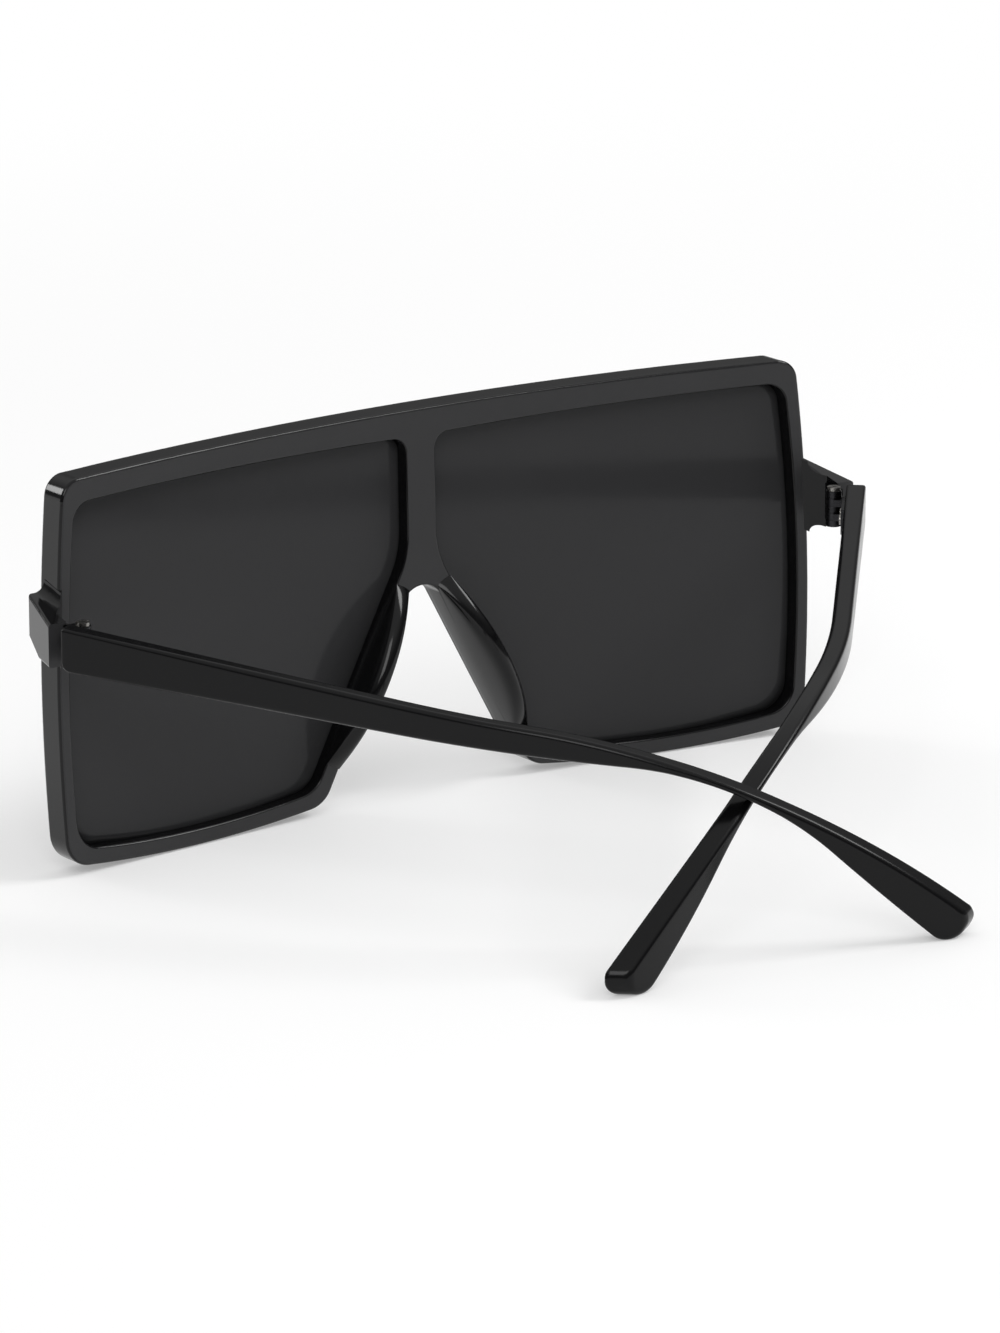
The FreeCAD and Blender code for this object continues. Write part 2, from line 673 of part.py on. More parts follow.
def make_screw(name):
    """The slotted screw on the axis, with its head over the top barrel."""
    head_top = f"{HINGE_TOP} + dims.screw_head_height"
    shank = upright(f"{name}_shank", "dims.screw_radius", (HINGE_LOW, HINGE_TOP))
    head = upright(f"{name}_head", "dims.screw_head_radius", (HINGE_TOP, head_top))
    reach = "dims.screw_head_radius"
    slot_low = f"{head_top} - dims.screw_slot"
    half = "dims.screw_slot / 2"
    slot = block(f"{name}_slot", 1, (f"-{reach}", reach), (f"-{half}", half), (slot_low, head_top))
    return cut(name, fuse(f"{name}_blank", [shank, head]), [slot])


def hinge_tools(name, side, direction, length):
    """What a hinge takes out of the plastic on one side of the joint: leaf recess and rivet holes."""
    recess = block(
        f"{name}_recess", side, (LEAF_IN, f"{LEAF_OUT} + dims.leaf_fit"),
        along(direction, "0", f"{length} + dims.leaf_fit"),
        leaf_span(direction, "dims.leaf_fit"),
    )
    depth = f"{LEAF_OUT} + dims.rivet_depth + dims.rivet_clearance"
    holes = [
        cross_pin(f"{name}_hole_{n}", side, "dims.rivet_radius + dims.rivet_clearance", (LEAF_IN, depth), y, z)
        for n, (y, z) in enumerate(rivet_places(direction))
    ]
    return [recess] + holes


# Temples, drawn round the hinge axis and open
def temple_plan(side):
    """Seen from above: straight from the hinge, then bowed inwards."""
    inner = "dims.hinge_inset"
    end = f"({tip_corners()[1][0]} + {CUT_ROOM})"
    run = f"({end} - dims.bow_start)"
    centre = f"({TEMPLE_OUT} - dims.bow_radius)"
    inner_radius = "(dims.bow_radius - dims.temple_thickness)"
    return [
        (f"{side} * {inner}", BUTT_START),
        (f"{side} * {TEMPLE_OUT}", BUTT_START),
        (f"{side} * {TEMPLE_OUT}", "dims.bow_start", "out", "dims.bow_radius"),
        (f"{side} * ({centre} + sqrt(dims.bow_radius^2 - {run}^2))", end),
        (f"{side} * ({centre} + sqrt({inner_radius}^2 - {run}^2))", end, "in", inner_radius),
        (f"{side} * {inner}", "dims.bow_start"),
    ]


def edge_level(run, start_level, drop):
    """Height of a temple's sloping edge at some run from the hinge."""
    return f"({start_level} - {run} * tan({drop} * 1deg))"


def low_bend_end():
    """Where the lower edge, bent without a corner, runs straight on to the tip."""
    level = edge_level("dims.low_bend_start", BUTT_LOW, "dims.low_drop_angle")
    drop = "(dims.low_drop_angle * 1deg)"
    turn = "(dims.tip_angle * 1deg)"
    back = f"(dims.low_bend_start + dims.low_bend_radius * (sin{turn} - sin{drop}))"
    return back, f"({level} + dims.low_bend_radius * (cos{turn} - cos{drop}))"


def tip_corners():
    """The tip's two sharp corners: rounded off, the lower one touches the floor."""
    turn = "(dims.tip_angle * 1deg)"
    lean = "(dims.tip_lean_angle * 1deg)"
    end_y, end_z = low_bend_end()
    centre_y = f"({end_y} + ({end_z} - dims.tip_round + dims.tip_round / cos{turn}) / tan{turn})"
    scale = "(dims.tip_round / cos(dims.tip_angle * 1deg - dims.tip_lean_angle * 1deg))"
    low_y = f"({centre_y} + {scale} * (cos{turn} - sin{lean}))"
    low_z = f"(dims.tip_round - {scale} * (sin{turn} + cos{lean}))"
    return (low_y, low_z), (f"({low_y} + dims.tip_width * sin{lean})", f"({low_z} + dims.tip_width * cos{lean})")


def top_bend_radius(top_level, tip):
    """Radius of the arc that leaves the sloping top edge without a corner and ends at the tip."""
    back = f"({tip[0]} - dims.top_bend_start)"
    fall = f"({top_level} - {tip[1]})"
    drop = "(dims.top_drop_angle * 1deg)"
    return f"(({back}^2 + {fall}^2) / (2 * ({fall} * cos{drop} - {back} * sin{drop})))"


def temple_side():
    """Seen from the side: it tapers to the ear bend, then drops and widens to the tip."""
    butt_low = edge_level(BUTT_START, BUTT_LOW, "dims.low_drop_angle")
    top_level = edge_level("dims.top_bend_start", BUTT_TOP, "dims.top_drop_angle")
    tip_low, tip_top = tip_corners()
    loop = [
        (BUTT_START, butt_low),
        ("dims.low_bend_start", edge_level("dims.low_bend_start", BUTT_LOW, "dims.low_drop_angle"),
         "in", "dims.low_bend_radius"),
        low_bend_end(),
        tip_low,
        (*tip_top, "out", top_bend_radius(top_level, tip_top)),
        ("dims.top_bend_start", top_level),
        (BUTT_START, edge_level(BUTT_START, BUTT_TOP, "dims.top_drop_angle")),
    ]
    return loop, (BUTT_START, butt_low)


def face_kind(face):
    """Where a face of the temple lies: on a side wall, on the butt, or round the rim between the walls."""
    axis = face.Surface.Axis
    if face.Surface.TypeId == "Part::GeomCylinder":
        return "wall" if abs(axis.z) > 1 - TINY else "rim"
    if abs(axis.x) > 1 - TINY:
        return "wall"
    return "butt" if abs(axis.y) > 1 - TINY else "rim"


def make_temple(name, side):
    body = doc.addObject("PartDesign::Body", f"{name}_blank")
    side_loop, butt_corner = temple_side()
    length = tip_corners()[1][0]
    profile = add_sketch(body, f"{name}_side", "YZ_Plane", [side_loop])
    add_pad(body, f"{name}_pad", profile, length, symmetric=True)
    reach = f"({length} + 2 * {CUT_ROOM})"
    waste = [(f"-{reach}", f"-{CUT_ROOM}"), (reach, f"-{CUT_ROOM}"), (reach, reach), (f"-{reach}", reach)]
    plan = add_sketch(body, f"{name}_plan", "XY_Plane", [waste, temple_plan(side)])
    add_cut_through(body, f"{name}_trim", plan)
    for key, corners in {"tip": tip_corners(), "butt": [butt_corner]}.items():
        places = [Vector(0, value(y), value(z)) for y, z in corners]
        edges = edges_at(body.Shape, Vector(1, 0, 0), places)
        add_fillet(body, f"{name}_{key}", edges, f"dims.{key}_round")
    rim = [
        f"Edge{n}" for n, edge in enumerate(body.Shape.Edges, start=1)
        if sorted(face_kind(face) for face in body.Shape.ancestorsOfType(edge, Part.Face)) == ["rim", "wall"]
    ]
    add_fillet(body, f"{name}_edges", rim, "dims.temple_edge_round")
    return cut(name, body, hinge_tools(f"{name}_hinge", side, 1, "dims.temple_leaf_length"))


def lean_forward(piece):
    """Leans a piece of the front with its top forwards, as the front stands to the temples."""
    piece.Placement.Rotation = Rotation(Vector(1, 0, 0), 1)
    piece.setExpression("Placement.Rotation.Angle", f"{LEAN}")
    piece.setExpression("Placement.Base.y", f"dims.hinge_level * sin{LEAN}")
    piece.setExpression("Placement.Base.z", LEAN_LIFT)
    return piece


# Assembly
FRONT_BARRELS = range(0, BARRELS, 2)
TEMPLE_BARRELS = range(1, BARRELS, 2)

nodes = {}
shell = [make_front_body()]
grooves = []
lugs = []
recesses = []
for name, side in SIDES.items():
    shell.append(make_nose_pad(f"nose_pad_{name}", side))
    lugs.append(make_lug(f"lug_{name}", side))
    grooves.append(make_lens(f"groove_{name}", side, "-dims.lens_clearance"))
    tools = fuse(f"lug_tools_{name}", hinge_tools(f"lug_hinge_{name}", side, -1, "dims.front_leaf_length"))
    recesses.append(at_hinge(tools, side))
    fold = f"dims.fold_angle_{name}"
    nodes[f"lens_{name}"] = lean_forward(make_lens(f"lens_{name}", side, "dims.lens_clearance"))
    nodes[f"temple_{name}"] = at_hinge(make_temple(f"temple_{name}", side), side, fold)
    leaf = make_leaf(f"hinge_front_leaf_{name}", side, -1, "dims.front_leaf_length", FRONT_BARRELS)
    nodes[f"hinge_front_leaf_{name}"] = at_hinge(leaf, side)
    leaf = make_leaf(f"hinge_temple_leaf_{name}", side, 1, "dims.temple_leaf_length", TEMPLE_BARRELS)
    nodes[f"hinge_temple_leaf_{name}"] = at_hinge(leaf, side, fold)
    nodes[f"hinge_screw_{name}"] = at_hinge(make_screw(f"hinge_screw_{name}"), side)
    nodes[f"front_leaf_rivets_{name}"] = at_hinge(make_rivets(f"front_leaf_rivets_{name}", side, -1), side)
    nodes[f"temple_leaf_rivets_{name}"] = at_hinge(make_rivets(f"temple_leaf_rivets_{name}", side, 1), side, fold)
rims = lean_forward(cut("rims", fuse("front_shell", shell), grooves))
nodes["front_frame"] = cut("front_frame", fuse("front_blank", [rims] + lugs), recesses)
for name, piece in nodes.items():
    piece.Label = name
doc.recompute()

failed = [item.Name for item in doc.Objects if "Invalid" in item.State or "Error" in item.State]
if failed:
    raise RuntimeError(f"failed: {failed}")
for name, piece in nodes.items():
    if piece.Shape.isNull() or not piece.Shape.isValid():
        raise RuntimeError(f"{name} has no valid shape")

os.makedirs("parts", exist_ok=True)
for name, piece in nodes.items():
    piece.Shape.exportStep(f"parts/{name}.step")
    box = piece.Shape.BoundBox
    print(f"{name}: {len(piece.Shape.Solids)} solids, {piece.Shape.Volume:.1f} mm3, "
          f"x {box.XMin:.2f} {box.XMax:.2f}, y {box.YMin:.2f} {box.YMax:.2f}, z {box.ZMin:.2f} {box.ZMax:.2f}")
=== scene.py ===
# %% [markdown]
# # Oversized square sunglasses
#
# The solids of the sunglasses come in as a fixed frame, in metres, with +Z up and the lenses facing -Y.
# They stand half folded: the front on its lower rims, the two temples crossed behind it on their tips.
# This lesson gives them their looks: the camera first, then the studio, the finishes, and last the pieces
# whose smooth surfaces are worked out anew, because gloss shows every flat facet.

import bpy
import numpy as np
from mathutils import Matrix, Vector


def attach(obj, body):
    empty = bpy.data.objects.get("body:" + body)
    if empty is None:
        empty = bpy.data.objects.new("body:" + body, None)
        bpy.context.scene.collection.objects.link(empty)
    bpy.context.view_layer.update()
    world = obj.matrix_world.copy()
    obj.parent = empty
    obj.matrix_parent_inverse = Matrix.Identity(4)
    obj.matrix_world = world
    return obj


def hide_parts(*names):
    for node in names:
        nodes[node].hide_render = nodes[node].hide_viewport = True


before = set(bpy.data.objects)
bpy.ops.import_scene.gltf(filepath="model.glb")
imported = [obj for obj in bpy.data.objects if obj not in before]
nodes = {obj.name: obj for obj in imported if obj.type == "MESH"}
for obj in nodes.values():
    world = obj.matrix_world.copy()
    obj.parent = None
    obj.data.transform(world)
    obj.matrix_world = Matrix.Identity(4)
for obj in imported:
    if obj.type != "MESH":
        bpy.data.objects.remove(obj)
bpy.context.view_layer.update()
MM = 0.001
print("nodes:", sorted(nodes))

# %% [markdown]
# ## The camera
#
# The picture was taken from behind and above the wearer's left side with a long lens, so the front is
# nearly free of perspective. The view is written as a turn, a height and a distance round a point on the
# table, and a small lens shift puts that point where the picture has it.

# %% Camera
VIEW_TURN = 145.81
VIEW_RISE = 16.35
VIEW_DISTANCE = 1244.4 * MM
VIEW_POINT = Vector((-18.3 * MM, 0.0, 16.43 * MM))
LENS_LENGTH = 206.54
SENSOR = 36.0
SHIFT = (-0.0129, 0.0086)
CLIP_END = 100.0


def place_camera():
    """Camera on a sphere round the view point: turn about Z from -Y, then rise above the table."""
    turn, rise = np.radians((VIEW_TURN, VIEW_RISE))
    back = Vector((np.sin(turn) * np.cos(rise), -np.cos(turn) * np.cos(rise), np.sin(rise)))
    data = bpy.data.cameras.new("camera")
    data.lens = LENS_LENGTH
    data.sensor_width = SENSOR
    data.shift_x, data.shift_y = SHIFT
    data.clip_end = CLIP_END
    camera = bpy.data.objects.new("camera", data)
    camera.location = VIEW_POINT + back * VIEW_DISTANCE
    camera.rotation_euler = (-back).to_track_quat("-Z", "Y").to_euler()
    bpy.context.scene.collection.objects.link(camera)
    bpy.context.scene.camera = camera
    return camera


camera = place_camera()
bpy.context.scene.view_settings.view_transform = "Standard"
print("camera at", [round(x, 3) for x in camera.location])

# %% [markdown]
# ## Helpers for finishes
#
# A colour is written as it would be picked on a screen, in sRGB, and turned to the linear values that the
# renderer works with. One small function adds a node with its settings and links, and every finish below
# is put together with it.


# %% Colour and node helpers
def linear(code, alpha=1.0):
    """sRGB hex to linear: the curve is c / 12.92 near black and ((c + 0.055) / 1.055) ^ 2.4 above."""
    srgb = np.array([int(code[i:i + 2], 16) for i in (1, 3, 5)]) / 255
    low = srgb / 12.92
    high = ((srgb + 0.055) / 1.055) ** 2.4
    return (*np.where(srgb <= 0.04045, low, high).tolist(), alpha)


def add(tree, kind, links=None, inputs=None, **settings):
    """Adds one node, sets its properties and inputs, and links sockets into it."""
    node = tree.nodes.new(kind)
    for key, setting in settings.items():
        setattr(node, key, setting)
    for key, number in (inputs or {}).items():
        node.inputs[key].default_value = number
    for key, socket in (links or {}).items():
        tree.links.new(socket, node.inputs[key])
    return node


def new_material(name):
    material = bpy.data.materials.new(name)
    material.use_nodes = True
    material.node_tree.nodes.clear()
    return material, material.node_tree


def finish_material(material, tree, shader):
    add(tree, "ShaderNodeOutputMaterial", links={"Surface": shader.outputs[0]})
    return material


def per_metre(size):
    """Noise scale for features of about this size in millimetres, on coordinates in metres."""
    return 1.0 / (size * MM)


print("white is", linear("#ffffff"), "and mid grey", [round(c, 3) for c in linear("#808080")])

# %% [markdown]
# ## The table
#
# The sunglasses stand on a sheet of matt white card that runs out past the picture. A round sheet of rings
# has no corner that a reflection could show. Near the sunglasses its shade comes from the light and the
# shadows, with a share of plain white glow mixed in for the camera and for reflections: painted light that
# makes the shadows paler. A few hand spans away it turns to plain white, as a lit backdrop does. Lengths
# here are in metres.

# %% Table
TABLE_RADIUS = 6.0
TABLE_RINGS = 24
TABLE_SPOKES = 96
TABLE_COLOUR = "#fcfcfc"
# Share of white glow in the card near the sunglasses: painted light that makes their shadow paler.
PAINTED_NEAR_GLOW = 0.3
SHADOW_REACH = 0.2
WHITE_REACH = 0.55


def make_table():
    """A round sheet on the plane z = 0: rings of radius r at angles a, (r cos a, r sin a, 0)."""
    reach = np.linspace(0.0, 1.0, TABLE_RINGS + 1)[1:] ** 2 * TABLE_RADIUS
    radius, angle = np.meshgrid(reach, np.linspace(0, 2 * np.pi, TABLE_SPOKES + 1)[:-1])
    points = np.stack([radius * np.cos(angle), radius * np.sin(angle), np.zeros_like(radius)], axis=-1)
    index = np.arange(radius.size).reshape(radius.shape)
    beside = np.roll(index, -1, axis=0)
    quads = np.stack([index[:, :-1], index[:, 1:], beside[:, 1:], beside[:, :-1]], axis=-1).reshape(-1, 4)
    mesh = bpy.data.meshes.new("table")
    mesh.from_pydata(points.reshape(-1, 3).tolist(), [], quads.tolist() + [index[:, 0].tolist()])
    table = bpy.data.objects.new("table", mesh)
    bpy.context.scene.collection.objects.link(table)
    return table


def white_card():
    """Matt white card whose shadows near by are lightened by a painted white glow, and which runs out to
    plain white, also in reflections.
    """
    material, tree = new_material("white_card")
    card = add(tree, "ShaderNodeBsdfDiffuse", inputs={"Color": linear(TABLE_COLOUR)})
    white = add(tree, "ShaderNodeEmission", inputs={"Color": linear("#ffffff"), "Strength": 1.0})
    place = add(tree, "ShaderNodeTexCoord").outputs["Object"]
    reach = add(tree, "ShaderNodeVectorMath", links={0: place}, operation="LENGTH")
    # The card glows white with a share near the sunglasses (painted light on their shadow) and fully far
    # out.
    far = add(tree, "ShaderNodeMapRange", interpolation_type="SMOOTHSTEP",
              links={"Value": reach.outputs["Value"]},
              inputs={"From Min": SHADOW_REACH, "From Max": WHITE_REACH, "To Min": PAINTED_NEAR_GLOW})
    ray = add(tree, "ShaderNodeLightPath").outputs
    mirrored = add(tree, "ShaderNodeMath", operation="MAXIMUM",
                   links={0: ray["Is Glossy Ray"], 1: ray["Is Transmission Ray"]})
    seen = add(tree, "ShaderNodeMath", operation="MAXIMUM",
               links={0: ray["Is Camera Ray"], 1: mirrored.outputs[0]})
    share = add(tree, "ShaderNodeMath", operation="MULTIPLY",
                links={0: far.outputs["Result"], 1: seen.outputs[0]})
    mix = add(tree, "ShaderNodeMixShader",
              links={0: share.outputs[0], 1: card.outputs[0], 2: white.outputs[0]})
    return finish_material(material, tree, mix)


table = make_table()
table.data.materials.append(white_card())
print("table faces:", len(table.data.polygons))

# %% [markdown]
# ## The light
#
# A black glossy thing is drawn by what it mirrors. The pale table gives the soft grey on the surfaces that
# look down at it. One softbox draws the light lines along the rear edges, one fills from behind, and a small
# one ahead makes the glints on the round corners. A room with dim walls and a bright ceiling leaves the rest
# black.

# %% Softboxes and room
WALL_LIGHT = 0.15
WALL_TOP = 0.3
CEILING_LIGHT = 0.82
CEILING_START = 0.75


def make_softbox(name, place, aim, size, watts):
    """A square lamp of this size at a place, turned towards the point that it is aimed at, in metres."""
    data = bpy.data.lights.new(name, "AREA")
    data.shape = "SQUARE"
    data.size = size
    data.energy = watts
    lamp = bpy.data.objects.new(name, data)
    lamp.location = place
    lamp.rotation_euler = (Vector(aim) - Vector(place)).to_track_quat("-Z", "Y").to_euler()
    bpy.context.scene.collection.objects.link(lamp)
    return lamp


def light_room():
    """Room light by the height z of its direction: dim walls up to one height, a bright ceiling from
    another, and a smooth step between them."""
    world = bpy.data.worlds.new("room")
    world.use_nodes = True
    tree = world.node_tree
    tree.nodes.clear()
    place = add(tree, "ShaderNodeTexCoord")
    split = add(tree, "ShaderNodeSeparateXYZ", links={"Vector": place.outputs["Generated"]})
    rise = add(tree, "ShaderNodeMapRange", interpolation_type="SMOOTHSTEP",
               links={"Value": split.outputs["Z"]},
               inputs={"From Min": WALL_TOP, "From Max": CEILING_START,
                       "To Min": WALL_LIGHT, "To Max": CEILING_LIGHT})
    light = add(tree, "ShaderNodeBackground", links={"Strength": rise.outputs["Result"]},
                inputs={"Color": linear("#ffffff")})
    add(tree, "ShaderNodeOutputWorld", links={"Surface": light.outputs[0]})
    bpy.context.scene.world = world


make_softbox("edge_softbox", place=(-0.82, 0.4, 0.87), aim=(0.0, 0.02, 0.03), size=0.45, watts=5.5)
make_softbox("rear_softbox", place=(0.9, 1.2, 1.1), aim=(0.0, 0.03, 0.02), size=0.8, watts=8.0)
make_softbox("front_softbox", place=(0.65, -1.15, 0.46), aim=(0.0, 0.0, 0.04), size=0.32, watts=2.4)
light_room()

# %% [markdown]
# ## Moulded black plastic
#
# The front and the temples are injection-moulded in black polycarbonate and tumbled to a shine. Tumbling
# reaches the edges and sides best, so the front's broad faces keep a softer satin. Roughness follows how far
# the surface faces straight ahead or back, and so does the colour: the broad faces get a lighter grey, which
# is painted light, and the edges and sides stay near black. On a black piece the eye sees hardly any colour,
# only how sharp its reflections are. So each finish has three faint patterns more: a smear of handling that
# changes the roughness over centimetres, the slow waviness that a moulded surface has over some
# millimetres, and a grain of a third of a millimetre. The last two are drawn as bump, and the waviness is
# deeper than in life, so that it shows.

# %% Plastic finishes
PLASTIC_IOR = 1.5
FACE_START, FACE_FULL = 0.86, 0.97
NOISE_LOW, NOISE_HIGH = 0.3, 0.7
SMEAR_SIZE = 14.0
SMEAR_LOW, SMEAR_HIGH = 0.85, 1.15
WAVE_SIZE = 7.0
WAVE_DEPTH = 0.05
GRAIN_SIZE = 0.35
GRAIN_DEPTH = 0.01
MIX_FIRST, MIX_SECOND, MIX_RESULT = 6, 7, 2


def moulded_plastic(name, edge, face, gloss, wave, grain):
    """Black plastic: colour and roughness go from edge to face by the size of the normal's y, and a lighter
    face colour is painted light; the roughness is smeared, and waviness and grain give the bump."""
    material, tree = new_material(name)
    coordinates = add(tree, "ShaderNodeTexCoord")
    place = coordinates.outputs["Object"]
    facing = add(tree, "ShaderNodeSeparateXYZ", links={"Vector": coordinates.outputs["Normal"]})
    ahead = add(tree, "ShaderNodeMath", links={0: facing.outputs["Y"]}, operation="ABSOLUTE")
    share = add(tree, "ShaderNodeMapRange", links={"Value": ahead.outputs[0]},
                inputs={"From Min": FACE_START, "From Max": FACE_FULL}).outputs["Result"]
    shade = add(tree, "ShaderNodeMix", links={"Factor": share}, data_type="RGBA",
                inputs={MIX_FIRST: linear(edge[0]), MIX_SECOND: linear(face[0])})
    broad = add(tree, "ShaderNodeMapRange", links={"Value": share},
                inputs={"To Min": edge[1], "To Max": face[1]})
    smear = add(tree, "ShaderNodeTexNoise", links={"Vector": place},
                inputs={"Scale": per_metre(SMEAR_SIZE), "Detail": 4.0, "Roughness": 0.6})
    change = add(tree, "ShaderNodeMapRange", links={"Value": smear.outputs["Fac"]},
                 inputs={"From Min": NOISE_LOW, "From Max": NOISE_HIGH,
                         "To Min": SMEAR_LOW, "To Max": SMEAR_HIGH})
    rough = add(tree, "ShaderNodeMath", operation="MULTIPLY",
                links={0: broad.outputs["Result"], 1: change.outputs["Result"]})
    waves = add(tree, "ShaderNodeTexNoise", links={"Vector": place},
                inputs={"Scale": per_metre(WAVE_SIZE), "Detail": 1.0})
    wavy = add(tree, "ShaderNodeBump", links={"Height": waves.outputs["Fac"]},
               inputs={"Strength": wave, "Distance": WAVE_DEPTH * MM})
    grains = add(tree, "ShaderNodeTexNoise", links={"Vector": place},
                 inputs={"Scale": per_metre(GRAIN_SIZE)})
    grainy = add(tree, "ShaderNodeBump",
                 links={"Height": grains.outputs["Fac"], "Normal": wavy.outputs["Normal"]},
                 inputs={"Strength": grain, "Distance": GRAIN_DEPTH * MM})
    shader = add(tree, "ShaderNodeBsdfPrincipled",
                 inputs={"IOR": PLASTIC_IOR, "Specular IOR Level": gloss},
                 links={"Base Color": shade.outputs[MIX_RESULT], "Roughness": rough.outputs[0],
                        "Normal": grainy.outputs["Normal"]})
    return finish_material(material, tree, shader)


# The satin pair's lighter grey is painted light on the front's broad faces; its roughness is the real satin.
tumbled, satin_and_painted_grey, polished = ("#0c0c0d", 0.12), ("#303031", 0.4), ("#0a0a0b", 0.2)
front_finish = moulded_plastic("black_polycarbonate_satin_and_painted_grey", tumbled, satin_and_painted_grey,
                               gloss=0.26, wave=0.2, grain=0.3)
pad_finish = moulded_plastic("tumbled_black_polycarbonate", tumbled, tumbled,
                             gloss=0.26, wave=0.1, grain=0.1)
temple_finish = moulded_plastic("polished_black_polycarbonate", polished, polished,
                                gloss=0.2, wave=0.15, grain=0.1)
print("plastics:", front_finish.name, temple_finish.name, pad_finish.name)

# %% [markdown]
# ## Tinted lens
#
# The lenses are dark grey polycarbonate, cut from sheet, with a coat on the rear face that takes most of the
# mirror away so that the wearer doesn't see their own eyes. From behind they look nearly matt: an even dark
# grey with only a faint picture of the temple in it. So the gloss is turned low and the grey is the tint's.
# Wiped-on smears a couple of centimetres long change the roughness a little.

# %% Lens finish
LENS_TINT = "#323233"
LENS_IOR = 1.58
LENS_GLOSS = 0.1
LENS_SMOOTH, LENS_WIPED = 0.1, 0.16
WIPE_SIZE = 22.0


def lens_tint():
    """Dark tinted polycarbonate: an even grey under a weak, clear reflection."""
    material, tree = new_material("tinted_polycarbonate")
    place = add(tree, "ShaderNodeTexCoord").outputs["Object"]
    wipes = add(tree, "ShaderNodeTexNoise", links={"Vector": place},
                inputs={"Scale": per_metre(WIPE_SIZE), "Detail": 3.0, "Distortion": 0.6})
    rough = add(tree, "ShaderNodeMapRange", links={"Value": wipes.outputs["Fac"]},
                inputs={"From Min": NOISE_LOW, "From Max": NOISE_HIGH,
                        "To Min": LENS_SMOOTH, "To Max": LENS_WIPED})
    shader = add(tree, "ShaderNodeBsdfPrincipled", links={"Roughness": rough.outputs["Result"]},
                 inputs={"Base Color": linear(LENS_TINT), "IOR": LENS_IOR, "Specular IOR Level": LENS_GLOSS})
    return finish_material(material, tree, shader)


lens_finish = lens_tint()
print("lens:", lens_finish.name)

# %% [markdown]
# ## Hinge steel
#
# The hinge leaves are stamped steel with a black nickel plating, and the screws and rivets are turned steel
# plated bright, so the eye finds only a few light spots in a dark hinge. Stamping and barrel polishing leave
# fine scratches, so a noise that is stretched twenty times in one direction gives both the bump and the
# change of roughness.

# %% Steel finish
SCRATCH_SIZE = 0.25
SCRATCH_STRETCH = 20.0
SCRATCH_DEPTH = 0.01
SCRATCH_BUMP = 0.3
STEEL_SMOOTH, STEEL_SCRATCHED = 0.24, 0.4


def plated_steel(name, colour):
    """Nickel on steel: metallic, with stretched noise for the scratches."""
    material, tree = new_material(name)
    place = add(tree, "ShaderNodeTexCoord").outputs["Object"]
    stretch = add(tree, "ShaderNodeMapping", links={"Vector": place},
                  inputs={"Scale": (1.0, 1.0 / SCRATCH_STRETCH, 1.0)})
    scratches = add(tree, "ShaderNodeTexNoise", links={"Vector": stretch.outputs["Vector"]},
                    inputs={"Scale": per_metre(SCRATCH_SIZE), "Detail": 2.0})
    rough = add(tree, "ShaderNodeMapRange", links={"Value": scratches.outputs["Fac"]},
                inputs={"From Min": NOISE_LOW, "From Max": NOISE_HIGH,
                        "To Min": STEEL_SMOOTH, "To Max": STEEL_SCRATCHED})
    bump = add(tree, "ShaderNodeBump", links={"Height": scratches.outputs["Fac"]},
               inputs={"Strength": SCRATCH_BUMP, "Distance": SCRATCH_DEPTH * MM})
    shader = add(tree, "ShaderNodeBsdfPrincipled",
                 links={"Roughness": rough.outputs["Result"], "Normal": bump.outputs["Normal"]},
                 inputs={"Base Color": linear(colour), "Metallic": 1.0})
    return finish_material(material, tree, shader)


leaf_finish = plated_steel("black_nickel_plated_steel", "#363638")
pin_finish = plated_steel("bright_nickel_plated_steel", "#93918d")
print("steel:", leaf_finish.name, pin_finish.name)

# %% [markdown]
# ## Dress the solids
#
# Every solid gets the finish of its real material. Some are hidden later by smooth pieces that stand for
# them, but their finish is set all the same.


# %% Finishes on the solids
def finish_of(name):
    if name.startswith("lens"):
        return lens_finish
    if "screw" in name or "rivets" in name:
        return pin_finish
    if name.startswith("hinge"):
        return leaf_finish
    return temple_finish if name.startswith("temple") else front_finish


for name, node in nodes.items():
    for number in range(len(node.data.materials)):
        node.data.materials[number] = finish_of(name)
print("dressed:", len(nodes))

# %% [markdown]
# ## From arrays to pieces
#
# A smooth piece is a grid of points, worked out as one array from two parameters. One helper turns such a
# grid into a mesh: rows run along the piece, columns go once round it, and the first and last rows are
# closed by a cap. The left and right pieces are mirror images, so one of each pair has its faces turned, and
# all point outwards.

# %% Grid helper
SIDES = {"left": 1.0, "right": -1.0}


def make_piece(name, points, body, finish, flip):
    """Joins a grid of points (rows, columns, xyz in mm) round its columns and caps both ends."""
    rows, columns = points.shape[:2]
    index = np.arange(rows * columns).reshape(rows, columns)
    beside = np.roll(index, -1, axis=1)
    quads = np.stack([index[:-1], beside[:-1], beside[1:], index[1:]], axis=-1).reshape(-1, 4)
    caps = [index[0][::-1], index[-1]]
    faces = [face[::-1] if flip else face for face in [*quads, *caps]]
    mesh = bpy.data.meshes.new(name)
    mesh.from_pydata((points.reshape(-1, 3) * MM).tolist(), [], [face.tolist() for face in faces])
    mesh.polygons.foreach_set("use_smooth", np.ones(len(faces), dtype=bool))
    mesh.materials.append(finish)
    piece = bpy.data.objects.new(name, mesh)
    bpy.context.scene.collection.objects.link(piece)
    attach(piece, body)
    print(name, "faces:", len(faces))
    return piece


# %% [markdown]
# ## The lenses
#
# Each lens is a plate bent round an upright cylinder, the same one that the front is bent round, and it
# leans forwards with the front. Its outline is a five-cornered shape with rounded corners and slightly
# bowed sides. Rings shrink from the outline to the middle of the plate, on the rear face and the front face,
# so the bend is a true cylinder without strips. From here on, lengths are in millimetres.

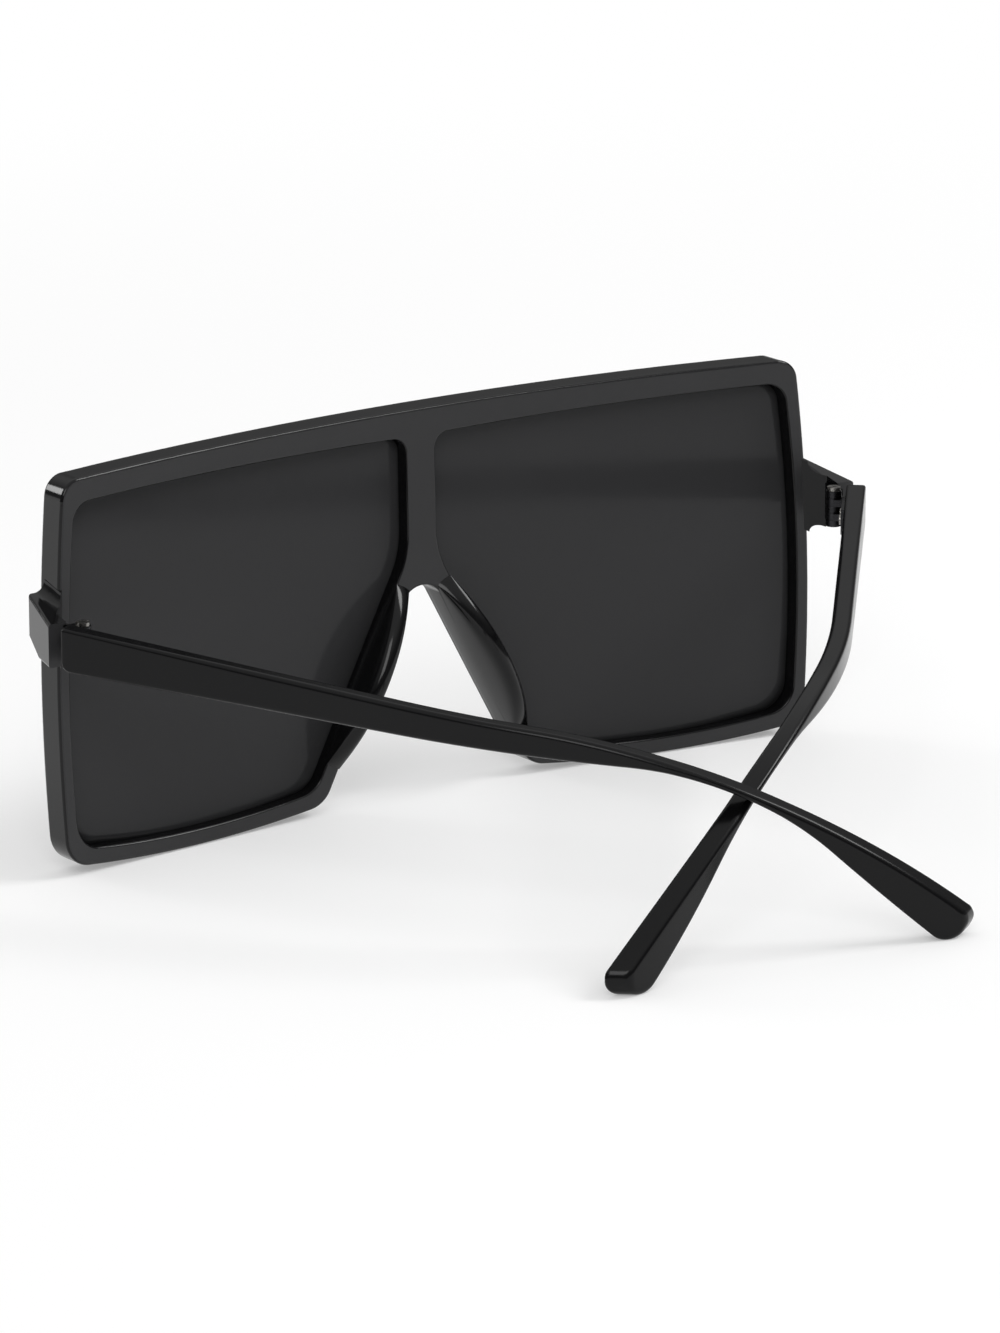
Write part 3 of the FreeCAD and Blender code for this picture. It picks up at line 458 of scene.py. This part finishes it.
# %% Lens outline
WRAP_RADIUS = 412.0
LENS_REAR = 2.65
LENS_FACE = 4.35
LENS_RINGS = 24
LENS_CORE = 0.02
OUTLINE_STEPS = 24
FRONT_LEAN = np.radians(1.6)
LEAN_LEVEL = 40.05
LEAN_LIFT = 0.07
LENS_CORNERS = np.array([(21.16, 3.6), (69.65, 3.6), (68.55, 60.35), (2.05, 60.35), (2.05, 40.16)])
LENS_ROUNDS = np.array([5.75, 5.75, 4.25, 3.25, 15.75])
LENS_BOWS = np.array([1.75, 1.5, 0.35, 0.0, 0.0])


def unit(vectors):
    return vectors / np.linalg.norm(vectors, axis=-1, keepdims=True)


def rounded_outline(corners, rounds, bows, samples):
    """Outline with round corners: at each corner an arc that turns from one side's direction to the next,
    tangent to both, then the side to the next corner, bowed outwards by a parabola 4 s (1 - s)."""
    share = np.linspace(0.0, 1.0, samples, endpoint=False)[None, :, None]
    ahead = unit(np.roll(corners, -1, axis=0) - corners)
    behind = np.roll(ahead, 1, axis=0)
    turn = np.arctan2(behind[:, 0] * ahead[:, 1] - behind[:, 1] * ahead[:, 0],
                      (behind * ahead).sum(axis=1))
    cut = (rounds * np.tan(turn / 2))[:, None]
    start, end = corners - behind * cut, corners + ahead * cut
    centre = start + np.stack([-behind[:, 1], behind[:, 0]], axis=1) * rounds[:, None]
    arm = (start - centre)[:, None, :]
    across = np.stack([-arm[..., 1], arm[..., 0]], axis=-1)
    angle = turn[:, None, None] * share
    arcs = centre[:, None, :] + arm * np.cos(angle) + across * np.sin(angle)
    run = (np.roll(start, -1, axis=0) - end)[:, None, :]
    out = np.stack([ahead[:, 1], -ahead[:, 0]], axis=1)[:, None, :]
    sides = end[:, None, :] + run * share + out * bows[:, None, None] * 4 * share * (1 - share)
    return np.concatenate([arcs, sides], axis=1).reshape(-1, 2)


lens_outline = rounded_outline(LENS_CORNERS, LENS_ROUNDS, LENS_BOWS, OUTLINE_STEPS)
print("lens outline:", np.ptp(lens_outline, axis=0).round(1), "mm")


# %% Lenses
def lean_front(points):
    """Turns points by the front's lean, top forwards, keeps the hinges' level in place along y, and lifts
    the points so that the rims stand on the floor."""
    x, y, z = np.moveaxis(points, -1, 0)
    leaned_y = y * np.cos(FRONT_LEAN) - z * np.sin(FRONT_LEAN) + LEAN_LEVEL * np.sin(FRONT_LEAN)
    leaned_z = y * np.sin(FRONT_LEAN) + z * np.cos(FRONT_LEAN) + LEAN_LIFT
    return np.stack([x, leaned_y, leaned_z], axis=-1)


def lens_points(side):
    """Rings from the middle to the outline on the rear cylinder, then back to the middle on the front one:
    (x, wrap radius - sqrt(radius^2 - x^2), z)."""
    middle = lens_outline.mean(axis=0)
    outwards = np.linspace(LENS_CORE, 1.0, LENS_RINGS)
    inwards = np.linspace(1.0, LENS_CORE, LENS_RINGS)
    share = np.concatenate([outwards, inwards])
    radius = WRAP_RADIUS + np.repeat([LENS_REAR, LENS_FACE], LENS_RINGS)[:, None]
    flat = middle + (lens_outline - middle) * share[:, None, None]
    x = side * flat[..., 0]
    y = WRAP_RADIUS - np.sqrt(radius**2 - x**2)
    return lean_front(np.stack([x, y, flat[..., 1]], axis=-1))


for name, side in SIDES.items():
    lens = make_piece(f"smooth_lens_{name}", lens_points(side), "front", lens_finish, side < 0)
    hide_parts(f"lens_{name}")

# %% [markdown]
# ## The temples
#
# A temple is one moulding: straight from the hinge, then bowed inwards round the head, tapering and then
# widening to a flat tip. Seen from above it is a strip of even thickness, seen from the side it has a top
# edge and a lower edge, so every cross-section is a rectangle with rounded edges. Tumbling wears the free
# end rounder than the butt, so the edge round grows along the temple. The section is carried back from the
# hinge, and at the tip its height closes to nothing along the rounded end.

# %% Temple values
HINGE = np.array([71.831, 13.66])
FOLDS = {"left": np.radians(35.8), "right": np.radians(38.8)}
TEMPLE_INSIDE = 2.0
TEMPLE_THICKNESS = 3.2
TEMPLE_START = -1.55
BUTT_TOP = 43.55
BUTT_LOW = 36.55
BUTT_ROUND = 1.6
TOP_DROP = np.radians(6.82)
LOW_DROP = np.radians(4.69)
TOP_BEND_START = 74.35
LOW_BEND_START = 88.7
LOW_BEND_RADIUS = 44.2
TIP_ANGLE = np.radians(47.2)
TIP_LEAN = np.radians(28.0)
TIP_WIDTH = 5.6
TIP_ROUND = 2.4
BOW_START = 53.4
BOW_RADIUS = 128.2
BUTT_EDGE_ROUND = 0.5
TIP_EDGE_ROUND = 0.8
EDGE_GROWS = 30.0


def arc(start, radius, first, last, samples=40):
    """Points of an arc that leaves a start point and falls more and more steeply, from one angle below the
    level to another, as it goes back."""
    angle = np.linspace(first, last, samples)
    back = start[0] + radius * (np.sin(angle) - np.sin(first))
    return np.stack([back, start[1] + radius * (np.cos(angle) - np.cos(first))], axis=1)


def corner_round(centre, radius, first, last, samples):
    """Points of a round about its centre, from one angle to another: centre + radius (cos a, sin a)."""
    angle = np.linspace(first, last, samples)
    return centre + radius * np.stack([np.cos(angle), np.sin(angle)], axis=1)


print("temple folds:", {name: round(float(np.degrees(fold)), 1) for name, fold in FOLDS.items()})


# %% Temple edges
def tip_ends():
    """The round of the lower corner touches the floor; the end line leans from it to the upper corner."""
    bend = (LOW_BEND_START, BUTT_LOW - LOW_BEND_START * np.tan(LOW_DROP))
    low_arc = arc(bend, LOW_BEND_RADIUS, LOW_DROP, TIP_ANGLE)
    back, level = low_arc[-1]
    centre = back + (level - TIP_ROUND + TIP_ROUND / np.cos(TIP_ANGLE)) / np.tan(TIP_ANGLE)
    scale = TIP_ROUND / np.cos(TIP_ANGLE - TIP_LEAN)
    low = np.array([centre + scale * (np.cos(TIP_ANGLE) - np.sin(TIP_LEAN)),
                    TIP_ROUND - scale * (np.sin(TIP_ANGLE) + np.cos(TIP_LEAN))])
    top = low + TIP_WIDTH * np.array([np.sin(TIP_LEAN), np.cos(TIP_LEAN)])
    return low_arc, np.array([centre, TIP_ROUND]), top


def temple_edges():
    """Heights of the lower and the upper edge over the run back from the hinge, both up to the tip's end."""
    low_arc, low_centre, top = tip_ends()
    bend = np.array([TOP_BEND_START, BUTT_TOP - TOP_BEND_START * np.tan(TOP_DROP)])
    back, fall = top[0] - bend[0], bend[1] - top[1]
    radius = (back**2 + fall**2) / (2 * (fall * np.cos(TOP_DROP) - back * np.sin(TOP_DROP)))
    slope = 2 * np.arctan2(fall, back) - TOP_DROP
    top_arc = arc(bend, radius, TOP_DROP, slope)
    end_line = np.array([np.sin(TIP_LEAN), np.cos(TIP_LEAN)])
    opening = np.pi / 2 - TIP_LEAN + slope
    reach = TIP_ROUND / np.tan(opening / 2)
    foot = top - end_line * reach
    top_centre = foot + TIP_ROUND * np.array([-end_line[1], end_line[0]])
    low_round = corner_round(low_centre, TIP_ROUND, -np.pi / 2 - TIP_ANGLE, -TIP_LEAN, 24)
    end_round = corner_round(top_centre, TIP_ROUND, -TIP_LEAN, 0.0, 8)
    top_round = corner_round(top_centre, TIP_ROUND, np.pi / 2 - slope, 0.0, 24)
    butt = np.array([TEMPLE_START, BUTT_LOW - TEMPLE_START * np.tan(LOW_DROP)]) + BUTT_ROUND
    butt_round = corner_round(butt, BUTT_ROUND, np.pi, 1.5 * np.pi - LOW_DROP, 12)
    lower = np.concatenate([butt_round, low_arc, low_round, end_round])
    start = [(TEMPLE_START, BUTT_TOP - TEMPLE_START * np.tan(TOP_DROP))]
    upper = np.concatenate([start, top_arc[top_arc[:, 0] < top_round[0, 0]], top_round])
    return lower, upper


lower_edge, upper_edge = temple_edges()
temple_end = float(upper_edge[-1, 0])
print("temple reaches back", round(temple_end, 1), "mm, lowest", round(float(lower_edge[:, 1].min()), 2))

# %% Temples
CORNER_STEPS = 7
FLAT_STEPS = 6
BUTT_STEPS = np.array([0.0, 0.12, 0.35, 0.8, 1.4, 2.0])
BUTT_BEVEL = 0.35
SHANK_START, SHANK_END = 2.0, 118.0
SHANK_STEPS = 110
TIP_STEPS = 60
END_GAP = 1e-3
LEAST_HALF = 0.02
EDGE_SHARE = 0.95


def section_round():
    """Once round a rectangle with rounded edges: the signs of its corners and the angles round each."""
    signs = np.array([(1, 1), (-1, 1), (-1, -1), (1, -1)], dtype=float)
    quarter = np.linspace(0, np.pi / 2, CORNER_STEPS)[None] + np.arange(4)[:, None] * np.pi / 2
    return signs, quarter


def temple_points(side, fold):
    """Rounded rectangles carried back from the hinge: across from the inner to the outer side of the bowed
    strip, upwards from the lower to the upper edge; then turned by the fold about the hinge."""
    shank = np.linspace(SHANK_START, SHANK_END, SHANK_STEPS)[:-1]
    far = temple_end - (temple_end - SHANK_END) * (1 - np.sin(np.linspace(0, np.pi / 2, TIP_STEPS)))
    run = np.concatenate([TEMPLE_START + BUTT_STEPS, shank, far[:-1], [temple_end - END_GAP]])
    low = np.interp(run, lower_edge[:, 0], lower_edge[:, 1])
    top = np.interp(run, upper_edge[:, 0], upper_edge[:, 1])
    past = np.clip(run - BOW_START, 0, None)
    inner = BOW_RADIUS - TEMPLE_THICKNESS
    outside = TEMPLE_INSIDE + TEMPLE_THICKNESS - BOW_RADIUS + np.sqrt(BOW_RADIUS**2 - past**2)
    inside = TEMPLE_INSIDE - inner + np.sqrt(inner**2 - past**2)
    short = (1 - (run - TEMPLE_START) / BUTT_BEVEL).clip(0)
    inset = BUTT_BEVEL - BUTT_BEVEL * np.sqrt(np.clip(1 - short**2, 0, 1))
    half = np.stack([(outside - inside) / 2 - inset, (top - low) / 2 - inset], axis=1).clip(LEAST_HALF)
    middle = np.stack([(outside + inside) / 2, (top + low) / 2], axis=1)
    edge_round = np.interp(run, (0.0, EDGE_GROWS), (BUTT_EDGE_ROUND, TIP_EDGE_ROUND))
    left = np.clip((temple_end - run) / edge_round, 0, 1)
    half[:, 0] -= edge_round * (1 - np.sqrt(left * (2 - left)))
    edge = np.minimum(edge_round, half.min(axis=1) * EDGE_SHARE)
    signs, quarter = section_round()
    core = middle[:, None, None, :] + signs[None, :, None, :] * (half - edge[:, None])[:, None, None, :]
    round_off = edge[:, None, None, None] * np.stack([np.cos(quarter), np.sin(quarter)], axis=-1)[None]
    corners = core + round_off
    share = (1 - np.cos(np.linspace(0, np.pi, FLAT_STEPS + 2)))[1:-1, None] / 2
    flats = corners[:, :, -1:, :] * (1 - share) + np.roll(corners, -1, axis=1)[:, :, :1, :] * share
    section = np.concatenate([corners, flats], axis=2).reshape(len(run), -1, 2)
    back = np.broadcast_to(run[:, None], section.shape[:2])
    x = HINGE[0] + section[..., 0] * np.cos(fold) - back * np.sin(fold)
    y = HINGE[1] + section[..., 0] * np.sin(fold) + back * np.cos(fold)
    return np.stack([side * x, y, section[..., 1]], axis=-1)


for name, side in SIDES.items():
    points = temple_points(side, FOLDS[name])
    temple = make_piece(f"smooth_temple_{name}", points, f"{name}_temple", temple_finish,
                        side > 0)
    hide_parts(f"temple_{name}")

# %% [markdown]
# ## The nose pads
#
# The pads are part of the front's moulding: a lip runs behind each rim's nose side, swells towards the
# middle and dies into the bridge above and the rim below. The solid has a plain bowed lip there. This skin
# lies up to a millimetre over it and gives it its soft form: one spline section that starts on the nose
# wall, swings out to the lip's rounded edge and comes back to the rim, carried down the wall.

# %% Nose pad values
NOSE_ANGLE = np.radians(27.6)
ARCH_EDGE = np.array([3.722, 32.646])
PAD_TOP = 34.7
PAD_FOOT = 7.2
PAD_DEPTH = 5.55
PAD_THICKNESS = 2.75
PAD_FLARE = np.tan(np.radians(8.0))
PAD_ROWS = 70
PAD_COLUMNS = 64


def spline(control, samples):
    """Uniform cubic B-spline that is drawn towards control points along the second axis and ends on the
    first and the last, which are held by being repeated."""
    held = np.pad(control, ((0, 0), (2, 2), (0, 0)), mode="edge")
    spans = held.shape[1] - 3
    place = np.linspace(0, spans - 1e-9, samples)
    span = place.astype(int)
    t = (place - span)[None, :, None]
    weights = ((1 - t) ** 3, 3 * t**3 - 6 * t**2 + 4, -3 * t**3 + 3 * t**2 + 3 * t + 1, t**3)
    return sum(weight * held[:, span + number] for number, weight in enumerate(weights)) / 6


print("nose pads from", PAD_TOP, "down to", PAD_FOOT, "mm")


# %% Nose pads
def pad_points(side):
    """Sections at heights z down the nose wall. Each has control points (y back, m towards the nose) on the
    wall, on the flared lip, round its edge and on its outer side; the lip's depth follows an arc."""
    z = PAD_TOP + (PAD_FOOT - PAD_TOP) * (1 - np.cos(np.linspace(0, np.pi, PAD_ROWS))) / 2
    half = (PAD_TOP - PAD_FOOT) / 2
    bow = (half**2 + PAD_DEPTH**2) / (2 * PAD_DEPTH)
    depth = np.sqrt(bow**2 - (z - PAD_FOOT - half) ** 2) - bow + PAD_DEPTH
    swell = np.clip(depth / PAD_DEPTH, 0, 1)
    zero = np.zeros_like(z)
    away = PAD_FLARE * depth
    thick = PAD_THICKNESS
    control = np.stack([
        np.stack([zero - 5.2, zero - 0.5], axis=1),
        np.stack([zero - 4.9, 0.02 + 0.02 * swell], axis=1),
        np.stack([zero - 3.6, 0.03 + 0.05 * swell], axis=1),
        np.stack([zero - 1.2, 0.04 + 0.14 * swell], axis=1),
        np.stack([0.5 * depth, 0.05 + 0.2 * swell - 0.5 * away], axis=1),
        np.stack([depth - 0.2, 0.25 * swell - away], axis=1),
        np.stack([depth + 0.45 * swell, -away - 0.25 * thick], axis=1),
        np.stack([depth + 0.3 * swell, -away - 0.7 * thick], axis=1),
        np.stack([depth - 0.9 * swell, -away - thick - 0.2 * swell], axis=1),
        np.stack([0.45 * depth, -0.45 * away - thick - 0.4 * swell], axis=1),
        np.stack([0.12 * depth, -thick - 0.5 * swell], axis=1),
        np.stack([zero - 0.1, -thick - 1.0 * swell], axis=1),
        np.stack([zero - 0.5, -thick - 1.0 * swell], axis=1),
    ], axis=1)
    section = spline(control, PAD_COLUMNS)
    y, m = section[..., 0], section[..., 1]
    wall = ARCH_EDGE[0] + (ARCH_EDGE[1] - z) * np.tan(NOSE_ANGLE)
    x = wall[:, None] - m * np.cos(NOSE_ANGLE)
    level = z[:, None] - m * np.sin(NOSE_ANGLE)
    bend = WRAP_RADIUS - np.sqrt(WRAP_RADIUS**2 - x**2)
    return lean_front(np.stack([side * x, y + bend, level], axis=-1))


for name, side in SIDES.items():
    make_piece(f"nose_pad_{name}", pad_points(side), "front", pad_finish, side < 0)
